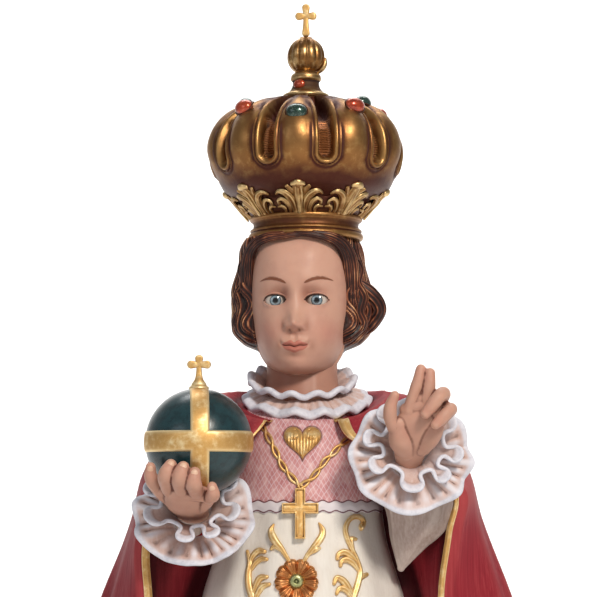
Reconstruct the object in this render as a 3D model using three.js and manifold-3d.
// A carved, painted and gilded wooden statue of a crowned child, about a metre tall.
// Millimetres, +Z up, the figure faces -Y, and the origin is the centre of the plinth's underside.
// The child wears a long robe and an open mantle, blesses with one hand and carries an orb in the other.

import * as THREE from 'three';
import { mergeVertices } from 'three/addons/utils/BufferGeometryUtils.js';
import Module from 'manifold-3d';

const wasm = await Module();
wasm.setup();

// Overall sizes
const fullTurn = 2 * Math.PI;
const fitGap = 0.3;
const facetTolerance = 1.6;
const clothTolerance = 3.0;
const plinthHeight = 36;
const plinthHalfWidth = 280;
const plinthHalfDepth = 196;
const headTurn = THREE.MathUtils.degToRad(-6);
const crownSeat = 758;
const crownBore = 46;
const crownBoreDepth = 14;
const globeRadius = 50;
const globeCentre = new THREE.Vector3(-100.7, -125, 555);
const bandLift = 1.2;

// A length read off a list of [station, value] pairs, joined by a smooth curve.
function along(pairs, station) {
  const last = pairs.length - 1;
  if (station <= pairs[0][0]) {
    return pairs[0][1];
  }
  if (station >= pairs[last][0]) {
    return pairs[last][1];
  }
  const slope = (i) => {
    const low = Math.max(i - 1, 0);
    const high = Math.min(i + 1, last);
    return (pairs[high][1] - pairs[low][1]) / (pairs[high][0] - pairs[low][0]);
  };
  const i = pairs.findIndex((pair) => pair[0] > station) - 1;
  const span = pairs[i + 1][0] - pairs[i][0];
  const t = (station - pairs[i][0]) / span;
  const start = (1 + 2 * t) * (1 - t) ** 2 * pairs[i][1] + t * (1 - t) ** 2 * span * slope(i);
  const end = t * t * (3 - 2 * t) * pairs[i + 1][1] + t * t * (t - 1) * span * slope(i + 1);
  return start + end;
}

// A smooth hill of the given height, fading to nothing a few widths away.
function hill(offset, width, height) {
  return height * Math.exp(-((offset / width) ** 2));
}

// A value that eases from 0 to 1 between two stations.
function ease(low, high, value) {
  const t = THREE.MathUtils.clamp((value - low) / (high - low), 0, 1);
  return t * t * (3 - 2 * t);
}

// A closed skin stretched over a row of rings; the row itself may close on its first ring.
function loft(rings, closed = false, flatEnds = false) {
  const count = rings[0].length;
  const points = rings.flat();
  const index = [];
  const spans = closed ? rings.length : rings.length - 1;
  for (let i = 0; i < spans; i += 1) {
    const next = (i + 1) % rings.length;
    for (let j = 0; j < count; j += 1) {
      const k = (j + 1) % count;
      index.push(i * count + j, i * count + k, next * count + k);
      index.push(i * count + j, next * count + k, next * count + j);
    }
  }
  if (!closed) {
    [0, rings.length - 1].forEach((row) => {
      const flip = row === 0;
      if (flatEnds) {
        const outline = rings[row].map((p) => new THREE.Vector2(p.x, p.y));
        THREE.ShapeUtils.triangulateShape(outline, []).forEach(([a, b, c]) => {
          const clockwise = THREE.ShapeUtils.isClockWise(outline);
          const face = flip !== clockwise ? [c, b, a] : [a, b, c];
          index.push(...face.map((corner) => row * count + corner));
        });
        return;
      }
      const middle = new THREE.Vector3();
      rings[row].forEach((p) => middle.addScaledVector(p, 1 / count));
      points.push(middle);
      for (let j = 0; j < count; j += 1) {
        const k = (j + 1) % count;
        const edge = flip ? [k, j] : [j, k];
        index.push(row * count + edge[0], row * count + edge[1], points.length - 1);
      }
    });
  }
  const geometry = new THREE.BufferGeometry().setFromPoints(points);
  geometry.setIndex(index);
  return geometry;
}

// The enclosed volume of a closed geometry, negative where its faces look inward.
function volume(position, index) {
  const corner = [new THREE.Vector3(), new THREE.Vector3(), new THREE.Vector3()];
  let total = 0;
  for (let i = 0; i < index.length; i += 3) {
    corner.forEach((p, k) => p.fromBufferAttribute(position, index[i + k]));
    total += corner[0].dot(corner[1].clone().cross(corner[2])) / 6;
  }
  return total;
}

// A solid ready for joining and cutting, its faces looking outward.
function solid(geometry) {
  const bare = geometry.clone();
  bare.deleteAttribute('normal');
  bare.deleteAttribute('uv');
  const merged = mergeVertices(bare, 1e-3);
  const source = Array.from(merged.index.array);
  const corners = [];
  for (let i = 0; i < source.length; i += 3) {
    const [a, b, c] = source.slice(i, i + 3);
    if (a !== b && b !== c && c !== a) {
      corners.push(a, b, c);
    }
  }
  if (volume(merged.attributes.position, corners) < 0) {
    corners.reverse();
  }
  const mesh = new wasm.Mesh({
    numProp: 3,
    vertProperties: new Float32Array(merged.attributes.position.array),
    triVerts: new Uint32Array(corners),
  });
  return new wasm.Manifold(mesh);
}

// Several solids joined into one.
function unite(parts) {
  return parts.reduce((whole, part) => whole.add(part));
}

// A rod along a smooth curve, with a radius for each point and an oval section.
// The flat factor scales the section's thickness, measured along the facing direction; a section of three
// sides turns its ridge that way.
function rod(points, radii, { sides = 6, flat = 1, facing = [0, -1, 0], steps = 2 } = {}) {
  const curve = new THREE.CatmullRomCurve3(points.map((p) => new THREE.Vector3(...p)));
  const spans = (points.length - 1) * steps;
  const front = new THREE.Vector3(...facing);
  const stations = radii.map((radius, i) => [i / (radii.length - 1), radius]);
  const rings = Array.from({ length: spans + 1 }, (_, i) => {
    const t = i / spans;
    const centre = curve.getPoint(t);
    const ahead = curve.getTangent(t);
    const side = new THREE.Vector3().crossVectors(ahead, front).normalize();
    const normal = new THREE.Vector3().crossVectors(side, ahead).normalize();
    const radius = along(stations, t);
    return Array.from({ length: sides }, (_unused, j) => {
      const angle = (j / sides) * fullTurn + (sides === 3 ? fullTurn / 4 : 0);
      const point = centre.clone().addScaledVector(side, radius * Math.cos(angle));
      return point.addScaledVector(normal, radius * flat * Math.sin(angle));
    });
  });
  return solid(loft(rings));
}

// A turned solid about the vertical axis, its profile given as [radius, height] pairs.
function turned(profile, segments) {
  const outline = profile.map(([radius, height]) => new THREE.Vector2(radius, height));
  return solid(new THREE.LatheGeometry(outline, segments).rotateX(Math.PI / 2));
}

// A flat plate cut to a shape drawn in X and Z, from a front depth back through a thickness.
function plate(shape, frontDepth, thickness) {
  const settings = { depth: thickness, bevelEnabled: false, curveSegments: 5 };
  const geometry = new THREE.ExtrudeGeometry(shape, settings);
  geometry.rotateX(Math.PI / 2);
  geometry.translate(0, frontDepth + thickness, 0);
  return solid(geometry);
}

// Robe: a long gown, half widths and depths by height
const figureFoot = plinthHeight + fitGap;
const robeCentre = -3;
const robeHalf = [
  [36, 172], [120, 158], [250, 130], [404, 101], [460, 84], [520, 75], [575, 70], [590, 60], [604, 46],
  [622, 36],
];
const robeFront = [
  [36, 150], [120, 138], [250, 118], [404, 97], [460, 88], [520, 80], [556, 75], [572, 64], [584, 50],
  [600, 41], [622, 34],
];
const robeBack = [[36, 110], [250, 90], [404, 80], [520, 70], [575, 60], [600, 50], [622, 34]];

// A point on the robe, at an angle about its axis and a height, lifted off the surface by a relief.
function robePoint(angle, height, relief = 0) {
  const depthOf = Math.sin(angle) < 0 ? robeFront : robeBack;
  const pleat = 10 * (1 - ease(60, 420, height)) * Math.cos(9 * angle + 0.6);
  const half = along(robeHalf, height) + pleat + relief;
  const depth = along(depthOf, height) + pleat + relief;
  return new THREE.Vector3(robeCentre + half * Math.cos(angle), depth * Math.sin(angle), height);
}

// The point of the robe's front that lies at a given X and Z, lifted by a relief.
function onRobe(x, height, relief = 0) {
  const reach = along(robeHalf, height);
  const angle = -Math.acos(THREE.MathUtils.clamp((x - robeCentre) / reach, -0.98, 0.98));
  const point = robePoint(angle, height, relief);
  return [x, point.y, height];
}

function makeRobe() {
  const heights = [figureFoot, 160, 300, 430, 520, 556, 574, 588, 604, 622];
  const columns = 27;
  return solid(loft(heights.map((height) => Array.from({ length: columns }, (_, j) => (
    robePoint((j / columns) * fullTurn, height)
  ))), false, true));
}

// Mantle: an open cloak, its silhouette and its two front edges by height
const mantleHalf = [
  [36, 258], [100, 250], [200, 237], [300, 219], [404, 194], [481, 171], [521, 163], [545, 153],
  [570, 142], [590, 129], [600, 112], [605, 98], [608, 80],
];
const mantleBack = [[36, 162], [200, 142], [404, 108], [500, 95], [560, 80], [600, 58], [608, 50]];
const mantleEdgeRight = [
  [36, 150], [200, 142], [404, 131], [470, 139], [500, 146], [520, 118], [540, 82], [560, 46], [584, 34],
  [600, 28], [608, 26],
];
const mantleEdgeLeft = [
  [36, 152], [200, 150], [404, 152], [463, 154], [500, 136], [530, 96], [560, 58], [581, 42], [600, 34],
  [608, 32],
];
const mantleFront = [
  [36, 112], [200, 102], [404, 86], [500, 84], [556, 82], [576, 70], [590, 52], [600, 36], [608, 24],
];
const mantleThickness = 9;
const mantleDip = { height: 595, share: 0.7 };

// One side of the mantle's outline at a height: from the lining at the middle round to the back's middle.
function mantleSide(height, edges, side) {
  const half = along(mantleHalf, height);
  const edge = along(edges, height);
  const front = along(mantleFront, height);
  const back = along(mantleBack, height);
  const valley = Math.min(along(robeHalf, height) + 8, edge - 12);
  const place = (x, y) => new THREE.Vector3(side * x, y, height);
  const points = [
    place(valley * 0.5, -18),
    place(valley, -14),
    place(edge - 6, -front + mantleThickness),
    place(edge, -front),
    place(edge + 8, -front + 3),
  ];
  const start = Math.acos(Math.min((edge + 8) / half, 0.96));
  const bulge = (front - 3) / Math.sin(start);
  const fullness = 1 - ease(330, 600, height);
  const columns = 10;
  for (let i = 1; i <= columns; i += 1) {
    const share = i / columns;
    const angle = -start + share * (start + Math.PI / 2);
    const pleat = 1 + 0.065 * fullness * Math.sin(share * Math.PI) * Math.cos(6.2 * angle + 0.8 * side);
    const depth = angle < 0 ? bulge : back;
    points.push(place(half * pleat * Math.cos(angle), depth * pleat * Math.sin(angle)));
  }
  return points;
}

// The mantle's last ring lies inside the one before it and lower, so that the cloth dips round the neck.
function makeMantle() {
  const heights = [figureFoot, 200, 404, 498, 524, 550, 575, 590, 601, 608];
  const rings = heights.map((height) => {
    const right = mantleSide(height, mantleEdgeRight, 1);
    const left = mantleSide(height, mantleEdgeLeft, -1).slice(0, -1);
    return [...right, ...left.reverse()];
  });
  rings.push(rings[rings.length - 1].map((point) => new THREE.Vector3(
    robeCentre + (point.x - robeCentre) * mantleDip.share,
    point.y * mantleDip.share,
    mantleDip.height,
  )));
  return solid(loft(rings, false, true));
}

// A ruffle about an axis: waved frills, one tier in front of the other, whose section runs from the cloth
// they are sewn to out to each rim and back. Each row of the section is a radius, a height along the axis,
// and the height and number of the waves it carries.
function ruffle({ centre, axis, upward, section, oval = 1, phase, segments }) {
  const out = new THREE.Vector3(...axis).normalize();
  const across = new THREE.Vector3().crossVectors(new THREE.Vector3(...upward), out).normalize();
  const up = new THREE.Vector3().crossVectors(out, across);
  const rings = Array.from({ length: segments }, (_, i) => {
    const angle = (i / segments) * fullTurn;
    return section.map(([radius, level, swell, number]) => {
      const wave = swell * Math.cos(number * angle + phase);
      const reach = radius + 0.35 * swell * Math.sin(2 * number * angle + phase);
      const point = new THREE.Vector3(...centre).addScaledVector(out, level + wave);
      point.addScaledVector(across, reach * Math.cos(angle));
      return point.addScaledVector(up, reach * oval * Math.sin(angle));
    });
  });
  return solid(loft(rings, true));
}

function makeCollar() {
  return ruffle({
    centre: [-4, -4, 619],
    axis: [0, -0.36, 1],
    upward: [0, -1, 0],
    section: [[34, -26, 0, 9], [62, -19, 3, 9], [64, -12, 3, 9], [40, -9, 0, 9], [56, -3, 4, 10],
      [55, 3, 4, 10], [33, -1, 0, 10]],
    phase: 0.4,
    segments: 27,
  });
}

// Sleeves and cuffs: the centre of each cuff, the way it opens and its reach
const blessingCuff = { centre: [98, -112, 541], axis: [0.05, -1, 0.14] };
const orbCuff = { centre: [-106, -100, 486], axis: [-0.02, -0.86, 0.5] };

function makeCuff({ centre, axis }, phase) {
  return ruffle({
    centre,
    axis,
    upward: [0, 0, 1],
    section: [[22, -12, 0, 8], [57, -2, 5, 8], [55, 4.5, 5, 8], [25, 5, 0, 8], [39, 11, 6, 6], [37, 16, 6, 6],
      [15, 8, 0, 6]],
    oval: 0.93,
    phase,
    segments: 24,
  });
}

function makeArms() {
  const section = { sides: 6, steps: 1, facing: [0, 0, 1] };
  const blessingArm = [[108, 2, 562], [116, -30, 528], [110, -84, 530], [99, -112, 540]];
  const orbArm = [[-108, 6, 556], [-120, -26, 506], [-116, -74, 479], [-107, -98, 484]];
  const hangingSleeve = [[112, -78, 520], [112, -74, 490], [106, -66, 462], [97, -58, 434]];
  return unite([
    rod(blessingArm, [30, 34, 32, 24], section),
    rod(orbArm, [30, 35, 33, 25], section),
    rod(hangingSleeve, [32, 28, 18, 4], { sides: 5, steps: 1, flat: 0.45 }),
  ]);
}

// Head: half widths, fronts and backs by height from under the chin to the flat seat of the crown
const faceHalf = [
  [618, 14], [624, 28], [636, 38], [652, 44.5], [670, 48.5], [690, 50.5], [715, 51], [740, 50], [758, 48],
];
const faceFront = [
  [618, 44], [624, 58], [634, 64], [652, 66], [680, 66], [705, 67.5], [725, 67], [742, 63], [758, 55],
];
const faceBack = [[618, 0], [636, 30], [660, 58], [690, 68], [720, 70], [745, 62], [758, 52]];
const eyeHeight = 695;
const eyeSpread = 21;
const noseHeight = 668;
const mouthHeight = 649;

// How far the carved features stand out of the plain oval of the face at a place across and up it.
function faceRelief(x, height) {
  const side = Math.abs(x);
  const bridge = ease(712, 672, height) * hill(height - noseHeight, 40, 1);
  const nose = 15 * bridge * hill(x, 6.5, 1) * ease(659, 667, height);
  const nostrils = hill(side - 8, 4.5, 5) * hill(height - noseHeight + 2, 5, 1);
  const socket = hill(side - eyeSpread, 13, -5) * hill(height - eyeHeight, 9, 1);
  const eyeball = hill(side - eyeSpread, 9, 4.5) * hill(height - eyeHeight, 5.5, 1);
  const brow = hill(side - 23, 15, 2.2) * hill(height - 712, 7, 1);
  const upperLip = hill(height - mouthHeight - 3.5, 3.4, 1);
  const lowerLip = hill(height - mouthHeight + 4.5, 4, 1);
  const lips = hill(x, 13, 4.5) * (upperLip + lowerLip);
  const cheeks = hill(side - 29, 14, 3.5) * hill(height - 666, 16, 1);
  const chin = hill(x, 14, 4) * hill(height - 630, 9, 1);
  return nose + nostrils + socket + eyeball + brow + lips + cheeks + chin;
}

function makeHead() {
  const heights = [618, 627, 637, 644.5, 649, 653.5, 661, 668, 681, 689, 695, 701, 712, 757.7];
  const frontColumns = [0, 5, 10, 17, 24, 33, 43];
  const rings = heights.map((height) => {
    const half = along(faceHalf, height);
    const front = along(faceFront, height);
    const back = along(faceBack, height);
    const frontSide = frontColumns.map((column) => {
      const x = (column / 50.5) * half;
      const y = -front * Math.sqrt(1 - (x / half) ** 2.4);
      return [x, y - faceRelief(column, height)];
    });
    const backSide = [0, 0.5, 0.85].map((share) => {
      const angle = share * Math.PI * 0.5;
      return [half * Math.cos(angle), back * Math.sin(angle)];
    });
    const rightSide = [...frontSide, ...backSide];
    const leftSide = rightSide.slice(1).reverse().map(([x, y]) => [-x, y]);
    return [...rightSide, ...leftSide].map(([x, y]) => new THREE.Vector3(x, y, height));
  });
  return solid(loft(rings));
}

function makeNeck() {
  const rings = [585, 650].map((height) => Array.from({ length: 12 }, (_, j) => {
    const angle = (j / 12) * fullTurn;
    return new THREE.Vector3(-4 + 35.5 * Math.cos(angle), -4 + 36 * Math.sin(angle), height);
  }));
  return solid(loft(rings));
}

// Hair: a cap behind the face, with waved locks down both sides, over the forehead and round the back
const hairHalf = [[648, 40], [656, 53], [668, 64], [685, 69], [705, 68], [725, 65], [742, 60], [758, 54]];

function makeHair() {
  const heights = [648, 659, 675, 694, 714, 736, 757.7];
  const ridges = 11;
  const cap = solid(loft(heights.map((height, row) => Array.from({ length: 2 * ridges }, (_, j) => {
    const angle = (j / (2 * ridges)) * fullTurn + 0.09 * Math.sin(row * 1.5);
    const ridge = j % 2 === 0 ? 1.5 : -3;
    const half = along(hairHalf, height) + ridge + 1.5 * Math.cos(row * 1.9 + j);
    const depth = Math.sin(angle) < 0 ? 42 : half * 0.9;
    return new THREE.Vector3(half * Math.cos(angle), 14 + depth * Math.sin(angle), height);
  }))));
  const locks = [];
  const curl = [[58, -8, 712], [72, -4, 703], [79, 0, 694], [70, 4, 682], [56, 4, 668]];
  locks.push(rod(curl, [7, 9, 7, 9, 4], { sides: 6, facing: [0, -1, 0], steps: 1 }));
  const fringe = [
    [[-46, -28, 738], [-38, -46, 753], [-8, -61, 748]],
    [[-20, -56, 757], [0, -61, 749], [20, -56, 753]],
    [[46, -28, 734], [38, -44, 749], [14, -58, 754]],
  ];
  fringe.forEach((points) => locks.push(rod(points, [5, 6, 3], { sides: 4, facing: [0, -1, 0], steps: 1 })));
  const top = turned([[0, 740], [48, 740], [48, 790], [0, 790]], 16);
  return unite([cap, ...locks, top]);
}

function makeHeadWithHair() {
  const head = unite([makeHead(), makeHair()]);
  return head.rotate([0, 0, THREE.MathUtils.radToDeg(headTurn)]);
}

// Hands: a palm and five fingers each, every finger a row of places and a root radius
const blessingHand = {
  palm: [[92, -122, 540], [97, -136, 556], [105, -146, 576], [109, -149, 590]],
  palmRadii: [15, 18, 21, 17],
  palmFacing: [0.15, -1, 0.1],
  fingers: [
    [[95, -149, 586], [99, -152, 600], [103, -152, 612], [105, -151, 621], 6.4],
    [[109, -150, 584], [112, -153, 598], [113, -153, 608], [114, -152, 617], 6.6],
    [[121, -147, 584], [127, -152, 597], [121, -160, 595], [109, -163, 578], 6.2],
    [[124, -144, 570], [134, -150, 582], [130, -159, 581], [116, -163, 569], 5.6],
    [[87, -141, 560], [76, -150, 573], [76, -156, 584], [83, -160, 595], 6.8],
  ],
};
const orbHand = {
  palm: [[-107, -108, 472], [-110, -126, 481], [-110, -144, 490], [-110, -162, 500]],
  palmRadii: [16, 21, 26, 25],
  palmFacing: [0, 0.5, 1],
  fingers: [
    [[-130, -136, 500], [-140, -150, 511], [-144, -158, 523], [-142, -162, 536], 6.6],
    [[-122, -158, 504], [-123, -172, 514], [-121, -178, 525], [-119, -176, 535], 6.6],
    [[-110, -162, 504], [-111, -176, 513], [-111, -182, 524], [-110, -180, 535], 6.8],
    [[-98, -160, 502], [-99, -174, 510], [-101, -181, 519], [-102, -181, 529], 6.4],
    [[-88, -150, 496], [-86, -164, 501], [-87, -172, 507], [-90, -175, 515], 5.6],
  ],
};

function makeHand({ palm, palmRadii, palmFacing, fingers }) {
  const parts = [rod(palm, palmRadii, { sides: 6, flat: 0.5, facing: palmFacing, steps: 1 })];
  fingers.forEach((finger) => {
    const radius = finger[4];
    const radii = [radius * 1.05, radius, radius * 0.95, radius * 0.62];
    parts.push(rod(finger.slice(0, 4), radii, { sides: 4, facing: [1, 0, 0.2], steps: 1 }));
  });
  return unite(parts);
}

// Ornament carved in relief on the robe: heart, chain, pendant cross, rosette and leafy scrolls
const robeMiddle = -9;
const rosette = { x: -9.9, height: 424, radius: 21, petals: 9 };
const heart = { x: -4.2, low: 542, high: 572.5, half: 18.5 };
const chainEnds = [[-46, 576], [-5, 515], [42, 562]];
const chainPitch = 8.7;

function makeHeart() {
  const { x, low, high, half } = heart;
  const shape = new THREE.Shape();
  const notch = high - 7;
  shape.moveTo(x, low);
  shape.bezierCurveTo(x + half * 0.5, low + 7, x + half, low + 13, x + half, high - 8);
  shape.bezierCurveTo(x + half, high + 2, x + 4, high + 3, x, notch);
  shape.bezierCurveTo(x - 4, high + 3, x - half, high + 2, x - half, high - 8);
  shape.bezierCurveTo(x - half, low + 13, x - half * 0.5, low + 7, x, low);
  return plate(shape, -along(robeFront, low) - 1.5, 12);
}

function makeChain(from, to) {
  const beads = Math.round((2 * Math.hypot(to[0] - from[0], to[1] - from[1])) / chainPitch);
  const points = Array.from({ length: beads + 1 }, (_, i) => {
    const t = i / beads;
    return onRobe(THREE.MathUtils.lerp(from[0], to[0], t), THREE.MathUtils.lerp(from[1], to[1], t), 0.5);
  });
  return rod(points, points.map((_, i) => (i % 2 === 0 ? 3.2 : 2)), { sides: 3, flat: 1.3, steps: 1 });
}

// A cross with slightly flared arms, drawn about the crossing of its arms.
function crossShape({ above, below, arm, half, flare }) {
  const shape = new THREE.Shape();
  const corners = [
    [half, half], [arm, half + flare], [arm, -half - flare], [half, -half], [half + flare, -below],
    [-half - flare, -below], [-half, -half], [-arm, -half - flare], [-arm, half + flare], [-half, half],
    [-half - flare, above], [half + flare, above],
  ];
  corners.forEach(([x, y], i) => (i === 0 ? shape.moveTo(x, y) : shape.lineTo(x, y)));
  shape.closePath();
  return shape;
}

function makePendant() {
  const size = { above: 19, below: 28.5, arm: 17.5, half: 4.8, flare: 0 };
  const sunk = { above: 17.2, below: 26.7, arm: 15.7, half: 3, flare: 0 };
  const cross = plate(crossShape(size), -5, 9).subtract(plate(crossShape(sunk), -7, 3.2));
  return cross.rotate([-7, 2, 0]).translate([-7.2, -85, 492]);
}

function makeRosette() {
  const section = [[0.82, -5], [1, 3], [0.42, 4], [0.3, 8.2]];
  const rings = section.map(([share, level]) => Array.from({ length: rosette.petals * 2 }, (_, j) => {
    const angle = (j / (rosette.petals * 2)) * fullTurn + fullTurn / 4;
    const lobe = share > 0.5 ? 1 + 0.09 * Math.cos(rosette.petals * angle) : 1;
    const reach = rosette.radius * share * lobe;
    const depth = -along(robeFront, rosette.height) - level;
    const height = rosette.height + reach * Math.sin(angle);
    return new THREE.Vector3(rosette.x + reach * Math.cos(angle), depth, height);
  }));
  return solid(loft(rings));
}

// A stem of scrollwork through [x, height] places, and a pointed leaf with a ridge down its middle.
function stem(places, radii) {
  return rod(places.map(([x, height]) => onRobe(x, height)), radii, { sides: 3, flat: 1.5, steps: 1 });
}

function leaf(from, to, width) {
  const across = (from[0] + to[0]) / 2 + (to[1] - from[1]) * 0.12;
  const middle = [across, (from[1] + to[1]) / 2 + (from[0] - to[0]) * 0.12];
  const places = [from, middle, to].map(([x, height]) => onRobe(x, height));
  return rod(places, [width * 0.4, width, width * 0.2], { sides: 3, flat: 1.1, steps: 1 });
}

function makeScrolls() {
  const upper = [
    stem([[-10, 440], [-23, 459], [-32, 477]], [2.4, 2.6, 1.4]),
    stem([[-9, 440], [3, 459], [13, 477]], [2.4, 2.6, 1.4]),
    stem([[54.5, 476], [48, 488], [37, 478], [43, 456], [50.5, 432], [46, 416], [40, 402]],
      [2.8, 2, 2.4, 2.8, 3.2, 3, 2.6]),
    stem([[-48, 456], [-58, 459], [-58, 436], [-55, 414], [-48, 398]], [2.6, 2.2, 2.6, 3, 2.6]),
    leaf([43, 452], [28, 450], 4),
    leaf([48, 438], [31, 437], 4.2),
    leaf([50, 424], [26, 424], 4.4),
    leaf([51, 432], [59, 428], 4.4),
    leaf([-58, 444], [-38, 450], 4.2),
    leaf([-57, 424], [-37, 424], 4.4),
  ];
  const lower = [-1, 1].flatMap((side) => {
    const place = (x, height) => [robeMiddle + side * x, height];
    const outer = [place(52, 400), place(38, 365), place(54, 325), place(50, 298), place(36, 306)];
    const inner = [place(4, 398), place(10, 345), place(32, 290), place(20, 250), place(5, 262)];
    return [
      stem(outer, [2.8, 3.8, 4, 3, 2]),
      stem(inner, [2.6, 3.8, 4, 3.4, 2]),
      leaf(place(33, 276), place(58, 262), 5.5),
    ];
  });
  return unite([...upper, ...lower]);
}

// Plinth: a low moulded octagon
function makePlinth() {
  const profile = [[0, 0], [0, 12], [-4, 17], [-4, 20], [-10, 25], [-14, 32], [-14, plinthHeight]];
  const corner = 90;
  const rings = profile.map(([inset, height]) => {
    const x = plinthHalfWidth + inset;
    const y = plinthHalfDepth + inset;
    const cut = corner + inset * 0.6;
    return [
      [x, -y + cut], [x, y - cut], [x - cut, y], [-x + cut, y], [-x, y - cut], [-x, -y + cut], [-x + cut, -y],
      [x - cut, -y],
    ].map(([px, py]) => new THREE.Vector3(px, py, height));
  });
  return solid(loft(rings, false, true));
}

// Orb: a turned globe with a band round its middle and another over its top
const globeSides = 16;

// A hoop about the vertical axis, its outside bulged to follow the globe.
function hoop(halfWidth, radius) {
  const edge = Math.sqrt(radius ** 2 - halfWidth ** 2);
  const inner = edge - 4;
  return turned([[inner, -halfWidth], [edge, -halfWidth], [radius, 0], [edge, halfWidth], [inner, halfWidth],
    [inner, -halfWidth]], globeSides);
}

function makeOrb(grow = 0) {
  const globe = new THREE.SphereGeometry(globeRadius + grow, globeSides, 9).rotateX(Math.PI / 2);
  const level = hoop(9.75, globeRadius + bandLift + grow);
  const upright = hoop(8.75, globeRadius + bandLift + grow).rotate([0, 90, 0]);
  const foot = turned([[0, 45], [9, 45], [9, 52], [5, 54], [0, 54]], 8);
  return unite([solid(globe), level, upright, foot]).rotate([0, 0, 4]).translate(globeCentre.toArray());
}

function makeOrbCross() {
  const foot = globeCentre.z + 54 + fitGap;
  const shape = crossShape({ above: 9.5, below: 18, arm: 11.5, half: 3, flare: 1.3 });
  return plate(shape, -2.6, 5.2).translate([globeCentre.x, globeCentre.y, foot + 18]);
}

// Crown: a moulded band, a ring of palmettes and a bulging lobed dome, all turned and carved
const domeProfile = [
  [60, 792], [80, 806], [88.5, 821], [95, 838], [96.5, 853], [91.5, 872], [80.5, 887], [66, 899], [48, 906],
  [20, 909],
];
const domeCentreHeight = 850;
const lobes = 10;
const slotHalf = 6.6;
const finialTop = 965.4;
const slotDepth = 9;

// The slots between the lobes, each with a moulded border, and the share of their full width at each height.
const slotRows = [
  { height: 793, slot: 0, border: 0 },
  { height: 818, slot: 0, border: 1 },
  { height: 826, slot: 1, border: 1 },
  { height: 849, slot: 1, border: 1 },
  { height: 873, slot: 1, border: 1 },
  { height: 893, slot: 0.9, border: 0.9 },
  { height: 908, slot: 0.5, border: 0.5 },
];

function makeDome() {
  const radiusAt = domeProfile.map(([radius, height]) => [height, radius]);
  const rings = slotRows.map(({ height, slot, border }) => {
    const radius = along(radiusAt, height);
    const rise = height - domeCentreHeight;
    const reach = Math.hypot(radius * 0.6, rise);
    const place = (angle, lift) => {
      const r = radius + (lift * radius * 0.6) / reach;
      return new THREE.Vector3(r * Math.cos(angle), r * Math.sin(angle), height + (lift * rise) / reach);
    };
    return Array.from({ length: lobes }, (_, i) => {
      const middle = ((i + 0.5) / lobes) * fullTurn - fullTurn / 4;
      const edge = (slotHalf * slot) / radius;
      const crest = ((slotHalf + 1.6) * border) / radius;
      const outer = ((slotHalf + 4.2) * border) / radius;
      const depth = slot > 0 ? -slotDepth * Math.min(1, slot + 0.2) : 2.4 * border;
      return [
        place(middle - outer, 0), place(middle - crest, 2.4 * border), place(middle - edge, depth),
        place(middle + edge, depth), place(middle + crest, 2.4 * border), place(middle + outer, 0),
        place(middle + fullTurn / lobes / 2, 0),
      ];
    }).flat();
  });
  return solid(loft(rings));
}

function makeBand() {
  return turned([
    [0, crownSeat], [55, crownSeat], [57.5, 762], [52.5, 769], [52.5, 775], [56.5, 778.5], [53, 782],
    [53, 796], [0, 796],
  ], 20);
}

// A palmette drawn as half an outline from its foot to its tip: a scrolled leaf each side of a pointed one.
const palmetteHalf = [[9, 0], [11, 7], [19, 9], [23, 17], [18, 24], [12, 19], [9, 28], [0, 37]];

function makePalmettes() {
  const shape = new THREE.Shape();
  const mirrored = palmetteHalf.slice(0, -1).reverse().map(([x, y]) => [-x, y]);
  [...palmetteHalf, ...mirrored].forEach(([x, y], i) => (i === 0 ? shape.moveTo(x, y) : shape.lineTo(x, y)));
  shape.closePath();
  const leaf = plate(shape, -4, 8).rotate([45, 0, 0]).translate([0, -56, 785]);
  return unite(Array.from({ length: 8 }, (_, i) => leaf.rotate([0, 0, 45 * i])));
}

// Oval stones on the lobes' shoulders; the lobes either side of the front one carry theirs a little higher.
const jewelPlaces = [[93, 872, 62], [86, 880.5, 50], [74, 893, 38]];

function makeJewels() {
  return unite(Array.from({ length: lobes }, (_, i) => {
    const [radius, height, tilt] = jewelPlaces[Math.min(i, lobes - i, 2)];
    const jewel = new THREE.SphereGeometry(1, 6, 3).rotateX(Math.PI / 2).scale(12, 8.5, 5);
    jewel.rotateX(THREE.MathUtils.degToRad(tilt));
    jewel.translate(0, -radius, height);
    return solid(jewel).rotate([0, 0, (360 / lobes) * i]);
  }));
}

function makeFinial() {
  const base = turned([
    [0, 900], [22, 906], [15.5, 911], [13, 919], [15.5, 924], [9, 930], [0, 930],
  ], 10);
  const outline = [[8, 928], [15.5, 933], [19, 945], [17, 956], [6, finialTop]];
  const rings = outline.map(([radius, height]) => Array.from({ length: 16 }, (_, j) => {
    const reach = radius * (j % 2 === 0 ? 1 : 0.9);
    const angle = (j / 16) * fullTurn;
    return new THREE.Vector3(reach * Math.cos(angle), reach * Math.sin(angle), height);
  }));
  return unite([base, solid(loft(rings))]);
}

function makeCrown() {
  const carved = unite([makeBand(), makeDome(), makePalmettes(), makeJewels(), makeFinial()]);
  const boreTop = crownSeat + crownBoreDepth;
  const bore = turned([[0, 740], [crownBore, 740], [crownBore, boreTop], [0, boreTop]], 20);
  const crown = carved.simplify(facetTolerance / 2).subtract(bore);
  return crown.rotate([0, 0, THREE.MathUtils.radToDeg(headTurn)]);
}

function makeCrownCross() {
  const shape = crossShape({ above: 12.8, below: 21.5, arm: 11.2, half: 3.1, flare: 1.3 });
  const cross = plate(shape, -2.4, 4.8).translate([0, 0, finialTop + fitGap + 21.5]);
  return cross.rotate([0, 0, THREE.MathUtils.radToDeg(headTurn)]);
}

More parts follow.
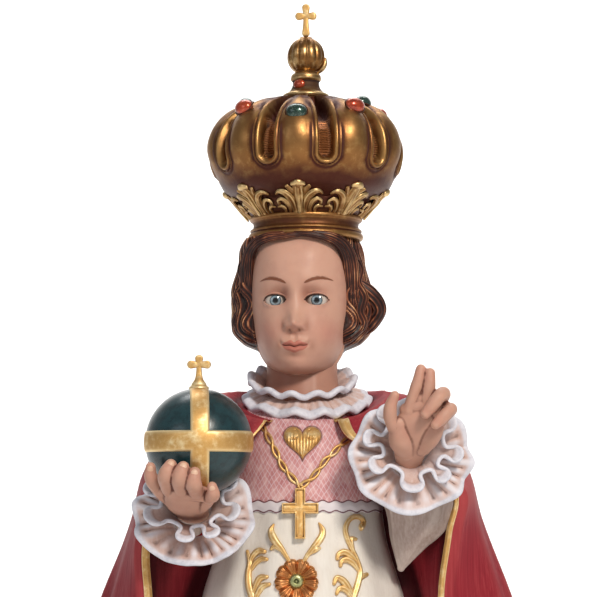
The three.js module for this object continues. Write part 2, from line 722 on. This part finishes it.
// What the crown takes from the head: everything over its seat but a round boss for its bore.
function crownRoom() {
  const bossRadius = crownBore - fitGap;
  const bossTop = crownSeat + crownBoreDepth - fitGap;
  const over = turned([[0, crownSeat - fitGap], [160, crownSeat - fitGap], [160, 830], [0, 830]], 20);
  const boss = turned([[0, 740], [bossRadius, 740], [bossRadius, bossTop], [0, bossTop]], 20);
  return over.subtract(boss).rotate([0, 0, THREE.MathUtils.radToDeg(headTurn)]);
}

// What the globe takes from the hand that holds it: a ball whose flats still clear the globe's bands.
function globeRoom() {
  const roomSides = 16;
  const reach = (globeRadius + bandLift + fitGap) / Math.cos(Math.PI / roomSides) ** 2;
  const room = new THREE.SphereGeometry(reach, roomSides, roomSides / 2).rotateX(Math.PI / 2);
  return solid(room).translate(globeCentre.toArray());
}

// The carved figure is one block of wood. Slivers of air shut in behind the relief are filled by keeping the
// outer body alone.
function makeFigure() {
  const dressed = unite([
    makeRobe(), makeMantle(), makeArms(), makeCollar(), makeCuff(blessingCuff, 0.5), makeCuff(orbCuff, 1.4),
    makeHeart(), makeChain(chainEnds[0], chainEnds[1]), makeChain(chainEnds[2], chainEnds[1]), makeRosette(),
    makeScrolls(),
  ]).simplify(clothTolerance);
  const carving = unite([
    dressed, makePendant(), makeNeck(), makeHeadWithHair(), makeHand(blessingHand), makeHand(orbHand),
  ]);
  const cut = carving.simplify(facetTolerance).subtract(crownRoom()).subtract(globeRoom());
  return cut.decompose().reduce((largest, body) => (body.volume() > largest.volume() ? body : largest));
}

// Each piece becomes a named mesh of its own
const statue = new THREE.Group();

function addPiece(name, piece, colour) {
  const mesh = piece.getMesh();
  const positions = [];
  for (let i = 0; i < mesh.numVert; i += 1) {
    positions.push(...mesh.vertProperties.slice(i * mesh.numProp, i * mesh.numProp + 3));
  }
  const geometry = new THREE.BufferGeometry();
  geometry.setAttribute('position', new THREE.Float32BufferAttribute(positions, 3));
  geometry.setIndex(Array.from(mesh.triVerts));
  geometry.computeVertexNormals();
  const object = new THREE.Mesh(geometry, new THREE.MeshStandardMaterial({ color: colour, roughness: 0.6 }));
  object.name = name;
  statue.add(object);
}

addPiece('plinth', makePlinth(), 0x6b4a35);
addPiece('figure', makeFigure(), 0xd9c7b4);
addPiece('crown', makeCrown(), 0xb8923f);
addPiece('crown_cross', makeCrownCross(), 0xc9a24a);
addPiece('orb', makeOrb(), 0x1f3a3c);
addPiece('orb_cross', makeOrbCross(), 0xc9a24a);

export default statue;
